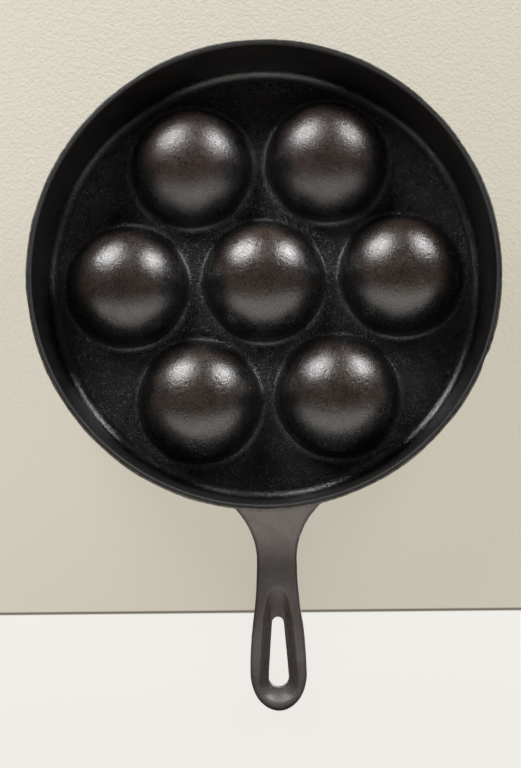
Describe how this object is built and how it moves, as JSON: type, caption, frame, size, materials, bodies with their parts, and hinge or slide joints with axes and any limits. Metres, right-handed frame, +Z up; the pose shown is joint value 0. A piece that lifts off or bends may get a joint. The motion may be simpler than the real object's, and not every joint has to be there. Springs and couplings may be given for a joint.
{
  "type": "aebleskiver pan",
  "caption": "Cast iron stovetop pan for round cakes: hemispherical cups in a flat deck, a deep skirt that it stands on, a low lip, and a long handle with a hanging hole.",
  "frame": {"origin": "middle of the ring that the pan stands on, at the level of the hob", "axes": "+Z up with the cups open upwards, handle towards -Y, the middle row of cups along X"},
  "size_m": [0.237, 0.3413, 0.0482],
  "materials": {
    "wall_iron": "seasoned black, satin, fine sand-cast texture, brown wear on the edges",
    "deck_iron": "seasoned black, satin, orange-peel casting texture",
    "cup_iron": "seasoned dark brown, smooth and glossy, with small pits",
    "handle_iron": "seasoned grey brown, smooth satin"
  },
  "bodies": {
    "root": {"skirt": "wall_iron", "lip": "wall_iron", "deck": "deck_iron", "cup_centre": "cup_iron", "cup_right": "cup_iron", "cup_back_right": "cup_iron", "cup_back_left": "cup_iron", "cup_left": "cup_iron", "cup_front_left": "cup_iron", "cup_front_right": "cup_iron", "handle_root": "handle_iron", "handle_neck": "handle_iron", "hanging_loop": "handle_iron"}
  },
  "joints": []
}
